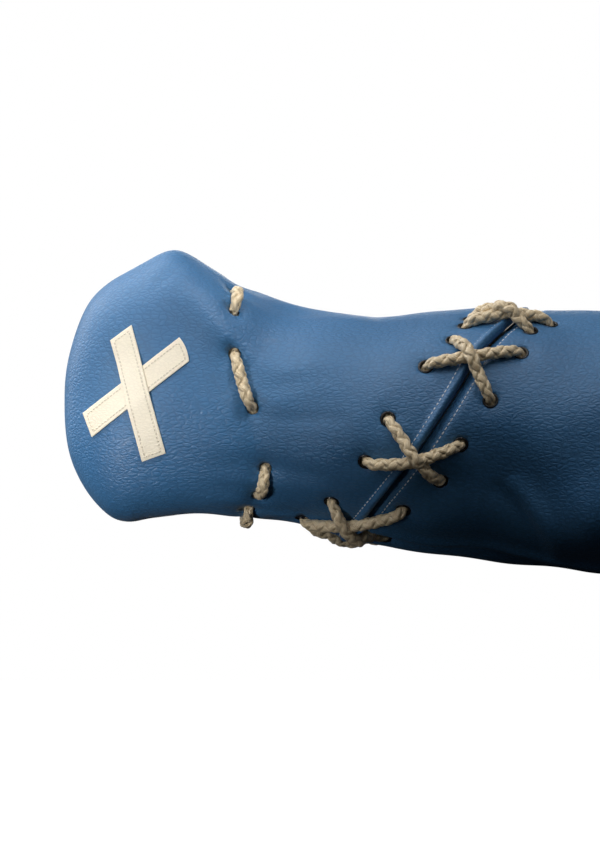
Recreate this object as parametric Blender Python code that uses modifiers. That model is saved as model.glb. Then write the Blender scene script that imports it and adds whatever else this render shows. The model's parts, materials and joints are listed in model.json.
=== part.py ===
"""Wall punch pad: a stuffed faux-leather limb, laced round its neck and across its slanted seam.

The limb slides over a steel arm that is welded to a wall plate, and four bolts hold it there.
Metres, +Z up. The origin is the centre of the plate's wall face, and the limb points along -X.
A place on the skin is an x and an angle: 0 is the top, 90 degrees faces -Y, 180 is the underside.
"""

import math

import bmesh
import bpy
import numpy as np
from mathutils import Matrix, Vector

# Skin: outlines of the limb from its tip to its root, as (x, z) in side view and (x, y) in plan.
TIP = (-0.460, 0.023)
TOP_LINE = [
    (-0.457, 0.053), (-0.446, 0.085), (-0.431, 0.102), (-0.407, 0.117), (-0.386, 0.1245),
    (-0.364, 0.113), (-0.343, 0.102), (-0.313, 0.091), (-0.277, 0.082), (-0.250, 0.080),
    (-0.210, 0.083), (-0.163, 0.0865), (-0.123, 0.083), (-0.070, 0.0845), (-0.030, 0.0845), (0.0, 0.083),
]
BOTTOM_LINE = [
    (-0.457, -0.009), (-0.447, -0.033), (-0.432, -0.051), (-0.418, -0.0565), (-0.400, -0.054),
    (-0.373, -0.052), (-0.343, -0.053), (-0.313, -0.056), (-0.283, -0.063), (-0.253, -0.072),
    (-0.200, -0.080), (-0.143, -0.087), (-0.100, -0.091), (-0.060, -0.088), (-0.030, -0.0845), (0.0, -0.083),
]
SIDE_LINE = [
    (-0.457, 0.024), (-0.446, 0.038), (-0.428, 0.049), (-0.400, 0.056), (-0.370, 0.060),
    (-0.343, 0.063), (-0.313, 0.068), (-0.270, 0.077), (-0.210, 0.084), (-0.150, 0.087),
    (-0.100, 0.088), (-0.060, 0.087), (-0.030, 0.0845), (0.0, 0.083),
]
ROUND = 2.0  # superellipse exponent of the body's section
HEAD_ROUND = 2.9  # and of the head's, whose faces are flatter
HEAD_ROUND_FROM, HEAD_ROUND_TO = -0.370, -0.310
LINE_STEPS = 12  # points per stretch of an outline
SIDES = 24  # points round a ring of skin
HOLE_SIDES = 8
HEAD_RINGS, BODY_RINGS = 10, 8  # rings of skin from tip to neck, and along each half of the body
PUNCH_LENGTH = 0.020  # of the cutters that punch lace holes

# Seam: the two covers meet on a slanting line that curls towards the root near the top.
SEAM_X = -0.2195
SEAM_SLANT = 0.050
SEAM_CURL, SEAM_CURL_FROM = 0.100, 0.55
SEAM_GAP = 0.0002
NECK_X = -0.340

# Covers and filling
LEATHER = 0.0015
FILLING_GAP = 0.0008
LACE_BED = 0.0140  # depth of the filling below the skin where laces run under it
NECK_BED_HALF = 0.022
SEAM_BED_HALF = 0.050
BED_SLOPE = 0.012
FILLING_BACK = -0.0287
REAR_EDGE_X = -0.010  # the rear cover's edge rounds over from here to its hem
HEM_TURN_X, HEM_TURN_RADIUS = -0.0074, 0.0828
HEM_X, HEM_OUTER_RADIUS, HEM_RADIUS = -0.0065, 0.0810, 0.062

# Laces, their holes and their eyelets
LACE_RADIUS = 0.0038
NECK_HOLE_RADIUS = 0.0045
EYELET_HOLE_RADIUS = 0.0051
EYELET_BORE, EYELET_BARREL, EYELET_FLANGE = 0.0043, 0.0048, 0.0058
EYELET_TOP, EYELET_SEAT, EYELET_END = 0.0010, 0.00035, -0.0023
HOLE_OUT, HOLE_IN = 0.0012, -0.0036  # where a lace's line leaves a hole's axis
UNDER = -0.0076  # height of a lace that runs under the skin
UNDER_TURN, UNDER_SPACING = 0.0045, 0.020  # it levels out this far from a hole
# Heights of a cross's two strands, and their rise as (distance from the hole, height)
LOW_STRAND, HIGH_STRAND = 0.0048, 0.0134
LOW_RISE = [(0, HOLE_OUT), (0.0018, 0.0042), (0.006, 0.0056)]
HIGH_RISE = [(0, HOLE_OUT), (0.0018, 0.0048), (0.0065, 0.0090), (0.013, 0.0132)]

# Steel arm and wall plate
PLATE_SIDE, PLATE_THICK, PLATE_CORNER = 0.240, 0.006, 0.020
WALL_HOLE_RADIUS, WALL_HOLE_OFFSET = 0.0055, 0.095
ARM_RISE = math.radians(3)
ARM_RADIUS, ARM_WALL, ARM_END = 0.02415, 0.0032, 0.316
PLUG_LIP, PLUG_DEPTH, PLUG_DOME = 0.004, 0.018, 0.008
SLEEVE_RADIUS, SLEEVE_START, SLEEVE_END = 0.044, 0.033, 0.314
DISC_RADIUS, DISC_THICK, DISC_BACK, DISC_BORE = 0.0805, 0.018, -0.0084, 0.027
DISC_CHAMFER = 0.0015
GAP = 0.0003
CUT_PAST = 0.001  # how far a cutter runs past the face it cuts
WALL_BLOCK, BORE_PAST = 0.20, 0.05  # cutter of the arm's wall end, and run-out of the filling's bore

# Bolts and tee nuts that hold the root disc to the plate
BOLT_OFFSET = 0.036
BOLT_RADIUS, BOLT_HEAD, BOLT_CONE, BOLT_LENGTH = 0.004, 0.008, 0.0044, 0.025
BOLT_SOCKET, BOLT_SOCKET_DEPTH = 0.0029, 0.0026
SINK_RADIUS, SINK_DEPTH = 0.0096, 0.0046  # countersink in the plate
NUT_FLANGE, NUT_FLANGE_THICK, NUT_BARREL, NUT_DEPTH = 0.011, 0.0015, 0.005, 0.010

# Cross patch on the head: two straps, each from (x, z) to (x, z)
STRAP_WIDTH, STRAP_THICK, STRAP_LIFT = 0.0155, 0.0012, 0.0005
LOWER_STRAP = ((-0.4420, 0.008), (-0.3786, 0.0573))
UPPER_STRAP = ((-0.4195, 0.0680), (-0.3985, -0.0130))
STRAP_STEP_UP = 0.0017
STEP_FROM, STEP_TO = 0.0035, 0.010  # distances past the lower strap's edge between which it steps down


def curve_through(points, before):
    """Points along a smooth curve from the tip through points; before is its neighbour past the tip."""
    knots = [Vector(before), Vector(TIP), *map(Vector, points)]
    knots.append(2 * knots[-1] - knots[-2])
    line = []
    for a, b, c, d in zip(knots, knots[1:], knots[2:], knots[3:]):
        for step in range(LINE_STEPS):
            t = step / LINE_STEPS
            line.append(
                0.5 * (2 * b + (c - a) * t + (2 * a - 5 * b + 4 * c - d) * t**2
                       + (3 * b - a - 3 * c + d) * t**3)
            )
    line.append(knots[-2])
    return np.array(line).T


TOP = curve_through(TOP_LINE, BOTTOM_LINE[0])
BOTTOM = curve_through(BOTTOM_LINE, TOP_LINE[0])
SIDE = curve_through([(x, y + TIP[1]) for x, y in SIDE_LINE], (SIDE_LINE[0][0], TIP[1] - SIDE_LINE[0][1]))


def smooth_step(value, low, high):
    t = min(1.0, max(0.0, (value - low) / (high - low)))
    return t * t * (3 - 2 * t)


def section(x):
    """(middle height, half height, half width, exponent) of the limb's section at x."""
    top, bottom = np.interp(x, *TOP), np.interp(x, *BOTTOM)
    half_width = np.interp(x, *SIDE) - TIP[1]
    exponent = HEAD_ROUND + (ROUND - HEAD_ROUND) * smooth_step(x, HEAD_ROUND_FROM, HEAD_ROUND_TO)
    return (top + bottom) / 2, (top - bottom) / 2, half_width, exponent


def skin_point(x, angle):
    middle, half_height, half_width, exponent = section(x)
    c, s = math.cos(angle), math.sin(angle)
    up = math.copysign(abs(c) ** (2 / exponent), c)
    out = math.copysign(abs(s) ** (2 / exponent), s)
    return Vector((x, -half_width * out, middle + half_height * up))


def skin_normal(x, angle):
    dx, da = 0.0015, 0.03
    along = skin_point(x + dx, angle) - skin_point(x - dx, angle)
    around = skin_point(x, angle + da) - skin_point(x, angle - da)
    return around.cross(along).normalized()


def above_skin(x, angle, height):
    return skin_point(x, angle) + height * skin_normal(x, angle)


def seam_lean(angle):
    """How far the seam lies towards the root from SEAM_X at this angle."""
    return SEAM_SLANT * math.cos(angle) + SEAM_CURL * max(0.0, math.cos(angle) - SEAM_CURL_FROM) ** 2


def seam_x(angle):
    return SEAM_X + seam_lean(angle)


def filling_depth(x, angle):
    """How far the filling lies under the skin: deeper where laces run beneath the covers."""
    neck = abs(x - NECK_X) - NECK_BED_HALF
    seam = abs(x - seam_x(angle)) - SEAM_BED_HALF
    bed = 1 - smooth_step(min(neck, seam), 0, BED_SLOPE)
    return LEATHER + FILLING_GAP + bed * (LACE_BED - LEATHER - FILLING_GAP)


def ring(x, lean=0.0, depth=None):
    """One ring of skin points, leaning by a share of the seam's lean; depth(x, angle) sinks it under the skin."""
    points = []
    for side in range(SIDES):
        angle = 2 * math.pi * side / SIDES
        here = x + lean * seam_lean(angle)
        sink = depth(here, angle) if depth else 0.0
        points.append(above_skin(here, angle, -sink))
    return points


def collection(name, parent=None):
    made = bpy.data.collections.new(name)
    (parent or bpy.context.scene.collection).children.link(made)
    return made


def material(name, colour, roughness, metallic=0.0):
    made = bpy.data.materials.new(name)
    made.use_nodes = True
    shader = made.node_tree.nodes["Principled BSDF"]
    shader.inputs["Base Color"].default_value = (*colour, 1.0)
    shader.inputs["Roughness"].default_value = roughness
    shader.inputs["Metallic"].default_value = metallic
    return made


def add_object(name, data, finish=None):
    """A part in the object's collection or, with no finish, a hidden cutter."""
    made = bpy.data.objects.new(name, data)
    if finish:
        PARTS.objects.link(made)
        if not data.materials:
            data.materials.append(finish)
    else:
        CUTTERS.objects.link(made)
        made.hide_render = True
        made.display_type = "WIRE"
    return made


def mesh_from(name, build):
    """A mesh that build(bm) fills."""
    bm = bmesh.new()
    build(bm)
    mesh = bpy.data.meshes.new(name)
    bm.to_mesh(mesh)
    bm.free()
    return mesh


def shade(obj, limit=35):
    obj.data.shade_smooth()
    obj.data.set_sharp_from_angle(angle=math.radians(limit))


def loft(name, rings, finish, pole=None, cap_ends=False):
    """Faces between rings of equal count; pole closes the first ring with a point."""

    def build(bm):
        rows = [[bm.verts.new(p) for p in points] for points in rings]
        for row, after in zip(rows, rows[1:]):
            for j in range(len(row)):
                k = (j + 1) % len(row)
                bm.faces.new((row[j], row[k], after[k], after[j]))
        if pole:
            point = bm.verts.new(pole)
            for j in range(len(rows[0])):
                bm.faces.new((point, rows[0][(j + 1) % len(rows[0])], rows[0][j]))
        if cap_ends:
            bm.faces.new(rows[-1])
            if not pole:
                bm.faces.new(reversed(rows[0]))

    made = add_object(name, mesh_from(name, build), finish)
    shade(made)
    return made


def turned(name, profile, finish, steps, closed_profile=False):
    """A profile of (radius, height) turned about local Z; its outer side runs from top to bottom."""

    def build(bm):
        verts = [bm.verts.new((r, 0, h)) for r, h in profile]
        for a, b in zip(verts, verts[1:]):
            bm.edges.new((a, b))
        if closed_profile:
            bm.edges.new((verts[-1], verts[0]))

    made = add_object(name, mesh_from(name, build), finish)
    add_screw(made, steps)
    return made


def add_screw(obj, steps):
    screw = obj.modifiers.new("turn", "SCREW")
    screw.steps = screw.render_steps = steps
    screw.use_merge_vertices = True
    screw.merge_threshold = 0.00005
    screw.use_smooth_shade = True


def cut(obj, cutter):
    modifier = obj.modifiers.new("cut_" + cutter.name, "BOOLEAN")
    modifier.operation = "DIFFERENCE"
    modifier.solver = "EXACT"
    modifier.object = cutter


def thicken(obj, thickness, offset):
    modifier = obj.modifiers.new("thickness", "SOLIDIFY")
    modifier.thickness = thickness
    modifier.offset = offset
    modifier.use_even_offset = True


def cylinders(name, places, radius, length, segments=12):
    """One cutter mesh of cylinders; each place is a matrix whose Z axis is the cylinder's."""

    def build(bm):
        for place in places:
            bmesh.ops.create_cone(
                bm, cap_ends=True, segments=segments, radius1=radius, radius2=radius,
                depth=length, matrix=place,
            )

    return add_object(name, mesh_from(name, build))


def along_x(x, y=0.0, z=0.0):
    """A place whose local Z axis points along -X, out of the wall."""
    return Matrix.Translation((x, y, z)) @ Matrix.Rotation(math.radians(-90), 4, "Y")


def skin_place(x, angle):
    """A place on the skin whose local Z axis is the skin's normal."""
    turn = skin_normal(x, angle).to_track_quat("Z", "Y").to_matrix().to_4x4()
    return Matrix.Translation(skin_point(x, angle)) @ turn


# ---- where the laces go -------------------------------------------------------------------------


def seam_crosses():
    """Each cross of the seam lacing as holes (angle in degrees, x from the seam).

    Keys: over_left and over_right are the ends of the strand on top, under_left and under_right of the other.
    The first four are laid by hand, because a hand-laced seam is uneven, and the rest are evenly spaced.
    """
    keys = ("over_left", "over_right", "under_left", "under_right")
    laid = [
        ((19.5, -0.0345), (35, 0.0185), (28, -0.031), (26, 0.0235)),
        ((41, -0.0260), (74, 0.0250), (56.5, -0.030), (50, 0.0265)),
        ((83.5, -0.033), (116, 0.028), (107, -0.0275), (95, 0.0235)),
        ((139, -0.0265), (174, 0.021), (161, -0.035), (137, 0.0190)),
    ]
    for count in range(4, 8):
        start = 190 + 37 * (count - 4)
        laid.append(((start, -0.029), (start + 36, 0.029), (start + 22.5, -0.029), (start + 13.5, 0.029)))
    return [dict(zip(keys, holes)) for holes in laid]


def seam_hole(place):
    angle = math.radians(place[0])
    return seam_x(angle) + place[1], angle


# Neck stitches: (angle in degrees, x from the neck line) where each one comes out and goes back in.
NECK_STITCHES = [
    ((22, -0.0045), (47, -0.0060)), ((73.5, -0.0060), (91.5, 0.0055)), ((124, 0.0140), (143.5, 0.0095)),
    ((161, 0.003), (182, 0.0)), ((205, -0.004), (230, -0.006)), ((254, -0.004), (280, 0.001)),
    ((302, 0.003), (325, -0.002)),
]


def neck_hole(place):
    return NECK_X + place[1], math.radians(place[0])


def between(start, end, distance, length):
    """The (x, angle) that lies distance along the way from one hole to the other, the short way round."""
    t = distance / length
    turn = (end[1] - start[1] + math.pi) % (2 * math.pi) - math.pi
    return start[0] + t * (end[0] - start[0]), start[1] + t * turn


def run(start, end, steps, middle):
    """Lace points from one hole to the next: steps are (distance in from either end, height)."""
    length = (skin_point(*end) - skin_point(*start)).length
    leaving = [above_skin(*between(start, end, d, length), h) for d, h in steps]
    arriving = [above_skin(*between(start, end, length - d, length), h) for d, h in reversed(steps)]
    return [*leaving, above_skin(*between(start, end, length / 2, length), middle), *arriving]


def over_run(start, end):
    return run(start, end, HIGH_RISE, HIGH_STRAND)


def low_run(start, end):
    return run(start, end, LOW_RISE, LOW_STRAND)


def under_run(start, end):
    """Lace points beneath the cover, close enough together to follow the skin's curve."""
    length = (skin_point(*end) - skin_point(*start)).length
    count = 3 + int(length / UNDER_SPACING)
    inner = [UNDER_TURN + n / (count - 1) * (length - 2 * UNDER_TURN) for n in range(count)]
    middle = [above_skin(*between(start, end, d, length), UNDER) for d in inner]
    return [above_skin(*start, HOLE_IN), *middle, above_skin(*end, HOLE_IN)]


def neck_lace_points():
    holes = [(neck_hole(a), neck_hole(b)) for a, b in NECK_STITCHES]
    points = []
    for (out, back), (after, _) in zip(holes, holes[1:] + holes[:1]):
        points += low_run(out, back) + under_run(back, after)
    return points


def seam_lace_points(first_over):
    """One of the two laces. It is on top in every second cross, and runs along the rows of holes in between."""
    crosses = [{key: seam_hole(hole) for key, hole in cross.items()} for cross in seam_crosses()]
    points = []
    for count, (cross, after) in enumerate(zip(crosses, crosses[1:] + crosses[:1])):
        if (count % 2 == 0) == first_over:
            points += over_run(cross["over_left"], cross["over_right"])
            points += under_run(cross["over_right"], after["under_right"])
        else:
            points += low_run(cross["under_right"], cross["under_left"])
            points += under_run(cross["under_left"], after["over_left"])
    return points


def lace(name, points):
    """A closed loop of cord through the points; its ends are tied under the cover."""
    curve = bpy.data.curves.new(name, "CURVE")
    curve.dimensions = "3D"
    curve.bevel_depth = LACE_RADIUS
    curve.bevel_resolution = 2
    curve.use_fill_caps = True
    spline = curve.splines.new("POLY")
    spline.points.add(len(points) - 1)
    for knot, point in zip(spline.points, points):
        knot.co = (*point, 1.0)
    spline.use_cyclic_u = True
    return add_object(name, curve, CORD)


# ---- the parts ----------------------------------------------------------------------------------


def head_stations():
    """(x, share of lean) of each ring from the tip to the neck."""
    quarter = math.pi / 2 / HEAD_RINGS
    return [(TIP[0] + (NECK_X - TIP[0]) * (1 - math.cos(n * quarter)), 0.0) for n in range(1, HEAD_RINGS + 1)]


def front_body_stations(seam):
    """(x, share of lean) of each ring after the neck; they lean more and more until they match the seam."""
    shares = [n / BODY_RINGS for n in range(1, BODY_RINGS + 1)]
    return [(NECK_X + share * (seam - NECK_X), share) for share in shares]


def rear_body_stations(seam):
    """(x, share of lean) of each ring from the seam back to where the filling stops."""
    shares = [n / BODY_RINGS for n in range(BODY_RINGS + 1)]
    return [(seam + share * (FILLING_BACK - seam), 1 - share) for share in shares]


def covers():
    """Front cover from the tip to the seam, and rear cover from the seam to its hem behind the root disc."""
    front = [ring(*at) for at in head_stations() + front_body_stations(SEAM_X - SEAM_GAP)]
    front_cover = loft("front_cover", front, LEATHER_BLUE, pole=skin_point(TIP[0], 0))

    rear = [ring(*at) for at in rear_body_stations(SEAM_X + SEAM_GAP)]
    root = ring(REAR_EDGE_X)
    rear.append(root)
    for x, radius in ((HEM_TURN_X, HEM_TURN_RADIUS), (HEM_X, HEM_OUTER_RADIUS), (HEM_X, HEM_RADIUS)):
        rear.append([hem_point(x, spoke, radius) for spoke in root])
    rear_cover = loft("rear_cover", rear, LEATHER_BLUE)

    for cover in (front_cover, rear_cover):
        thicken(cover, LEATHER, -1)
    return front_cover, rear_cover


def hem_point(x, spoke, radius):
    """The point at x on the spoke's line from the axis, radius out."""
    out = Vector((0, spoke.y, spoke.z)).normalized() * radius
    return Vector((x, out.y, out.z))


def fillings():
    """Fibre filling: one piece fills the head, and the other the body round the foam sleeve."""
    head = [ring(*at, filling_depth) for at in head_stations()[:-1]]
    head.append(flat_ring(NECK_X - GAP))
    top = skin_point(TIP[0], 0) + Vector((LEATHER + FILLING_GAP, 0, 0))
    loft("head_filling", head, FIBRE, pole=top, cap_ends=True)

    stations = front_body_stations(SEAM_X) + rear_body_stations(SEAM_X)[1:-1]
    body = [flat_ring(NECK_X)] + [ring(*at, filling_depth) for at in stations] + [flat_ring(FILLING_BACK)]
    filling = loft("body_filling", body, FIBRE, cap_ends=True)
    sleeve_bore, arm_bore, beyond = SLEEVE_RADIUS + GAP, ARM_RADIUS + GAP, ARM_END + BORE_PAST
    bore = turned(
        "arm_bore",
        [(0, beyond), (arm_bore, beyond), (arm_bore, SLEEVE_END + GAP), (sleeve_bore, SLEEVE_END + GAP),
         (sleeve_bore, -BORE_PAST), (0, -BORE_PAST)],
        None, 24,
    )
    bore.parent = ARM_AXIS
    cut(filling, bore)


def flat_ring(x):
    """A ring of filling whose points all lie at x."""
    return [Vector((x, p.y, p.z)) for p in ring(x, depth=filling_depth)]


def arm():
    """Steel arm, its end plug and the foam sleeve round it, all on the arm's own axis."""
    bore_radius = ARM_RADIUS - ARM_WALL
    tube = turned(
        "steel_arm",
        [(bore_radius, 0), (bore_radius, ARM_END), (ARM_RADIUS, ARM_END), (ARM_RADIUS, 0)],
        STEEL, 32, closed_profile=True,
    )
    block = mesh_from("wall_side", lambda bm: bmesh.ops.create_cube(bm, size=WALL_BLOCK))
    wall_side = add_object("wall_side", block)
    wall_side.location.x = WALL_BLOCK / 2 - PLATE_THICK - GAP
    cut(tube, wall_side)

    dome = [
        (ARM_RADIUS * math.sin(a), ARM_END + GAP + PLUG_LIP + PLUG_DOME * math.cos(a))
        for a in (0, math.radians(30), math.radians(60), math.radians(90))
    ]
    spigot = bore_radius - GAP
    plug = turned(
        "arm_end_plug",
        [*dome, (ARM_RADIUS, ARM_END + GAP), (spigot, ARM_END + GAP),
         (spigot, ARM_END - PLUG_DEPTH), (0, ARM_END - PLUG_DEPTH)],
        RUBBER, 24,
    )
    sleeve_bore = ARM_RADIUS + GAP
    sleeve = turned(
        "foam_sleeve",
        [(sleeve_bore, SLEEVE_START), (sleeve_bore, SLEEVE_END), (SLEEVE_RADIUS, SLEEVE_END),
         (SLEEVE_RADIUS, SLEEVE_START)],
        FOAM, 24, closed_profile=True,
    )
    for piece in (tube, plug, sleeve):
        piece.parent = ARM_AXIS


def four_places(x, offset):
    return [along_x(x, y * offset, z * offset) for y in (-1, 1) for z in (-1, 1)]


def wall_plate():
    def build(bm):
        bmesh.ops.create_cube(bm, size=1)
        bmesh.ops.scale(bm, vec=(PLATE_THICK, PLATE_SIDE, PLATE_SIDE), verts=bm.verts)
        corners = [e for e in bm.edges if abs(e.verts[0].co.x - e.verts[1].co.x) > PLATE_THICK / 2]
        bmesh.ops.bevel(bm, geom=corners, offset=PLATE_CORNER, segments=5, profile=0.5, affect="EDGES")

    plate = add_object("wall_plate", mesh_from("wall_plate", build), PAINT)
    plate.location.x = -PLATE_THICK / 2
    shade(plate)
    wall_holes = four_places(0, WALL_HOLE_OFFSET)
    cut(plate, cylinders("wall_holes", wall_holes, WALL_HOLE_RADIUS, 3 * PLATE_THICK, 16))
    shank = BOLT_RADIUS + GAP
    sinks = [(0, CUT_PAST), (SINK_RADIUS, CUT_PAST), (shank, -SINK_DEPTH), (shank, -PLATE_THICK - CUT_PAST),
             (0, -PLATE_THICK - CUT_PAST)]
    for count, place in enumerate(four_places(0, BOLT_OFFSET)):
        sink = turned(f"countersink_{count + 1}", sinks, None, 16)
        sink.matrix_world = place @ Matrix.Rotation(math.pi, 4, "X")
        cut(plate, sink)


def root_disc():
    disc = turned(
        "root_disc",
        [(DISC_BORE, 0), (DISC_BORE, DISC_THICK), (DISC_RADIUS - DISC_CHAMFER, DISC_THICK),
         (DISC_RADIUS, DISC_THICK - DISC_CHAMFER), (DISC_RADIUS, DISC_CHAMFER), (DISC_RADIUS - DISC_CHAMFER, 0)],
        PLYWOOD, 32, closed_profile=True,
    )
    disc.matrix_world = along_x(DISC_BACK)
    nut_holes = four_places(DISC_BACK, BOLT_OFFSET)
    cut(disc, cylinders("nut_holes", nut_holes, NUT_BARREL + GAP, 3 * DISC_THICK))


def bolts_and_nuts():
    """Countersunk bolts from the wall side into tee nuts on the root disc's front face."""
    profile = [
        (0, -GAP), (BOLT_HEAD, -GAP), (BOLT_RADIUS, -BOLT_CONE), (BOLT_RADIUS, -BOLT_LENGTH), (0, -BOLT_LENGTH),
    ]
    disc_front = DISC_BACK - DISC_THICK - GAP
    bore = BOLT_RADIUS + GAP
    nut_profile = [
        (bore, -NUT_DEPTH), (bore, NUT_FLANGE_THICK), (NUT_FLANGE, NUT_FLANGE_THICK),
        (NUT_FLANGE, 0), (NUT_BARREL, 0), (NUT_BARREL, -NUT_DEPTH),
    ]
    bolt_places, nut_places = four_places(0, BOLT_OFFSET), four_places(disc_front, BOLT_OFFSET)
    for count, (bolt_place, nut_place) in enumerate(zip(bolt_places, nut_places), 1):
        bolt = turned(f"disc_bolt_{count}", profile, STEEL, 16)
        bolt.matrix_world = bolt_place @ Matrix.Rotation(math.pi, 4, "X")
        cut(bolt, cylinders(f"hex_socket_{count}", [bolt_place], BOLT_SOCKET, 2 * BOLT_SOCKET_DEPTH, 6))
        nut = turned(f"tee_nut_{count}", nut_profile, STEEL, 16, closed_profile=True)
        nut.matrix_world = nut_place


def eyelet_profile():
    return [
        (EYELET_BORE, EYELET_END), (EYELET_BORE, EYELET_TOP), (EYELET_FLANGE, EYELET_TOP),
        (EYELET_FLANGE, EYELET_SEAT), (EYELET_BARREL, EYELET_SEAT), (EYELET_BARREL, EYELET_END),
    ]


def eyelets_and_holes(front_cover, rear_cover):
    """An eyelet in each lace hole beside the seam, and plain punched holes round the neck."""
    rows = {
        "front": [seam_hole(cross[key]) for cross in seam_crosses() for key in ("over_left", "under_left")],
        "rear": [seam_hole(cross[key]) for cross in seam_crosses() for key in ("over_right", "under_right")],
    }
    shared = None
    for row, cover in (("front", front_cover), ("rear", rear_cover)):
        places = [skin_place(*hole) for hole in rows[row]]
        cut(cover, cylinders(f"{row}_eyelet_holes", places, EYELET_HOLE_RADIUS, PUNCH_LENGTH, HOLE_SIDES))
        for count, place in enumerate(places, 1):
            name = f"eyelet_{row}_{count:02d}"
            if shared is None:
                eyelet = turned(name, eyelet_profile(), BLACK_METAL, HOLE_SIDES, closed_profile=True)
                shared = eyelet.data
            else:
                eyelet = add_object(name, shared, BLACK_METAL)
                add_screw(eyelet, HOLE_SIDES)
            eyelet.matrix_world = place
    neck_places = [skin_place(*neck_hole(end)) for stitch in NECK_STITCHES for end in stitch]
    cut(front_cover, cylinders("neck_holes", neck_places, NECK_HOLE_RADIUS, PUNCH_LENGTH, HOLE_SIDES))


def face_angle(x, z):
    """The angle of the skin's -Y side at x and height z."""
    middle, half_height, _, exponent = section(x)
    up = (z - middle) / half_height
    return math.acos(math.copysign(abs(up) ** (exponent / 2), up))


def strap(name, ends, crossing=None):
    """A strap sewn flat on the head's -Y face; it steps up over another strap at crossing."""
    start, end = Vector(ends[0]), Vector(ends[1])
    way = (end - start).normalized()
    side = Vector((-way.y, way.x))
    lengths, widths = 12, 2

    def build(bm):
        grid = []
        for i in range(lengths + 1):
            row = []
            for j in range(widths + 1):
                spot = start + (end - start) * (i / lengths) + side * STRAP_WIDTH * (j / widths - 0.5)
                lift = STRAP_LIFT
                if crossing:
                    off = abs((spot - crossing[0]).dot(crossing[1]))
                    past_edge = off - STRAP_WIDTH / 2
                    lift += STRAP_STEP_UP * (1 - smooth_step(past_edge, STEP_FROM, STEP_TO))
                row.append(bm.verts.new(above_skin(spot.x, face_angle(spot.x, spot.y), lift)))
            grid.append(row)
        for row, after in zip(grid, grid[1:]):
            for j in range(widths):
                bm.faces.new((row[j], row[j + 1], after[j + 1], after[j]))
        bmesh.ops.recalc_face_normals(bm, faces=bm.faces)
        if sum(face.normal.y for face in bm.faces) > 0:
            bmesh.ops.reverse_faces(bm, faces=bm.faces)

    made = add_object(name, mesh_from(name, build), LEATHER_CREAM)
    thicken(made, STRAP_THICK, 1)


def patch():
    """Two straps that cross; the upper one steps over the lower one."""
    strap("patch_strap_lower", LOWER_STRAP)
    start, end = map(Vector, LOWER_STRAP)
    across = (end - start).normalized().orthogonal()
    strap("patch_strap_upper", UPPER_STRAP, crossing=(start, across))


for old in list(bpy.data.objects):
    bpy.data.objects.remove(old)

PARTS = collection("wall_punch_pad")
CUTTERS = collection("cutters")
CUTTERS.hide_render = True

LEATHER_BLUE = material("blue_faux_leather", (0.075, 0.22, 0.43), 0.45)
LEATHER_CREAM = material("cream_faux_leather", (0.83, 0.77, 0.64), 0.5)
CORD = material("cream_braided_cord", (0.66, 0.56, 0.40), 0.6)
BLACK_METAL = material("black_eyelet", (0.01, 0.01, 0.01), 0.3, 0.8)
FIBRE = material("fibre_filling", (0.80, 0.78, 0.72), 0.95)
FOAM = material("dense_foam", (0.16, 0.16, 0.17), 0.9)
STEEL = material("zinc_plated_steel", (0.60, 0.61, 0.62), 0.35, 1.0)
PAINT = material("black_powder_coat", (0.02, 0.02, 0.022), 0.5)
RUBBER = material("black_rubber", (0.02, 0.02, 0.02), 0.7)
PLYWOOD = material("birch_plywood", (0.62, 0.45, 0.27), 0.6)

# The arm's own Z axis points out of the wall along the arm.
ARM_AXIS = bpy.data.objects.new("arm_axis", None)
PARTS.objects.link(ARM_AXIS)
ARM_AXIS.rotation_euler = (0, math.radians(-90) + ARM_RISE, 0)

wall_plate()
root_disc()
bolts_and_nuts()
arm()
fillings()
FRONT_COVER, REAR_COVER = covers()
eyelets_and_holes(FRONT_COVER, REAR_COVER)
patch()
lace("neck_lace", neck_lace_points())
lace("seam_lace_1", seam_lace_points(first_over=True))
lace("seam_lace_2", seam_lace_points(first_over=False))
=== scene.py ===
# %% [markdown]
# # A wall punch pad in stuffed blue faux leather
# The pad is a limb that stands out from a wall plate. Its skin is two faux-leather covers, laced
# together across a slanted seam, gathered in at the neck by a cord, and filled with fibre round a
# steel arm. The filling, the arm and everything that holds it to the wall are a guess. The plate,
# arm, end plug, foam sleeve, disc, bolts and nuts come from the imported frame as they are, and get new
# finishes. The covers, straps, laces, eyelets and filling are made again here in detail.

# %% Load the frame
import math

import bpy
import numpy as np
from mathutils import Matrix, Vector
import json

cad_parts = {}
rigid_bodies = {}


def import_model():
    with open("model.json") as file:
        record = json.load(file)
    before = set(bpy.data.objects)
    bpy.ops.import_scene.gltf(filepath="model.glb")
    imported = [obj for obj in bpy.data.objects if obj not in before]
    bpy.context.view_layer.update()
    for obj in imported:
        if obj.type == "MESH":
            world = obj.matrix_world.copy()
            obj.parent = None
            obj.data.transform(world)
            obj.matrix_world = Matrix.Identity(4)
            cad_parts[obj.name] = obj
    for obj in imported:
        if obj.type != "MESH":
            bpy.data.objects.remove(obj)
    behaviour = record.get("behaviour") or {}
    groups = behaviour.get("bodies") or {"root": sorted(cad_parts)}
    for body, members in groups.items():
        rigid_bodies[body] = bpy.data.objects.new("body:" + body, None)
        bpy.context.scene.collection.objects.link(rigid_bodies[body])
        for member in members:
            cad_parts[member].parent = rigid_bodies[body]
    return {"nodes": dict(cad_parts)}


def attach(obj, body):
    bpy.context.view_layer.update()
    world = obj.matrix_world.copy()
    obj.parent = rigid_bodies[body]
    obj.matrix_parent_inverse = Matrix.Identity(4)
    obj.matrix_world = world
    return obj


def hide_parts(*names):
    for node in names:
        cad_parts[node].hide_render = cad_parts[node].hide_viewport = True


for old in list(bpy.data.objects):
    bpy.data.objects.remove(old)
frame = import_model()
FULL_TURN = 2 * math.pi
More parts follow.
